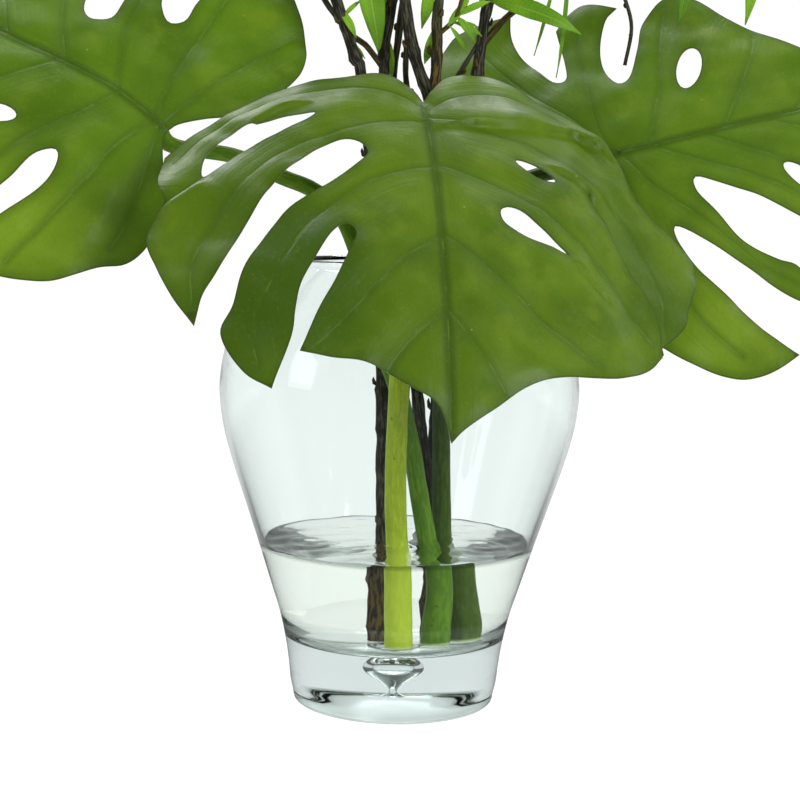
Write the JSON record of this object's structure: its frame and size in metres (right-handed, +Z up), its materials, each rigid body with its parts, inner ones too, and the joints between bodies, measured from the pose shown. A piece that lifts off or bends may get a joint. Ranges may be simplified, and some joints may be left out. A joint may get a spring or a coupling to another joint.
{
  "type": "philodendron leaf arrangement in vase",
  "caption": "Split philodendron leaves on green stalks with leafy woody stems, standing in a clear wide-shouldered glass vase of water.",
  "frame": {"origin": "centre of the vase's underside, on the surface that it stands on", "axes": "+Z up along the vase's axis, -Y to the front, which faces the camera of the picture, +X to the right of the picture"},
  "size_m": [0.618, 0.2855, 0.7532],
  "materials": {
    "glass": "clear, polished",
    "water": "clear water",
    "leaf": "waxy green leaf",
    "stalk_light": "smooth light green stalk",
    "stalk_mid": "smooth green stalk",
    "stalk_dark": "smooth dark green stalk",
    "leafy_stem": "thin dark bark with green leaves"
  },
  "bodies": {
    "root": {"vase": "glass", "water": "water", "leaf_front": "leaf", "leaf_left": "leaf", "leaf_right": "leaf", "stalk_front": "stalk_light", "stalk_left": "stalk_mid", "stalk_right": "stalk_dark", "spray_left": "leafy_stem", "spray_back": "leafy_stem", "spray_middle": "leafy_stem", "spray_right": "leafy_stem"}
  },
  "joints": []
}
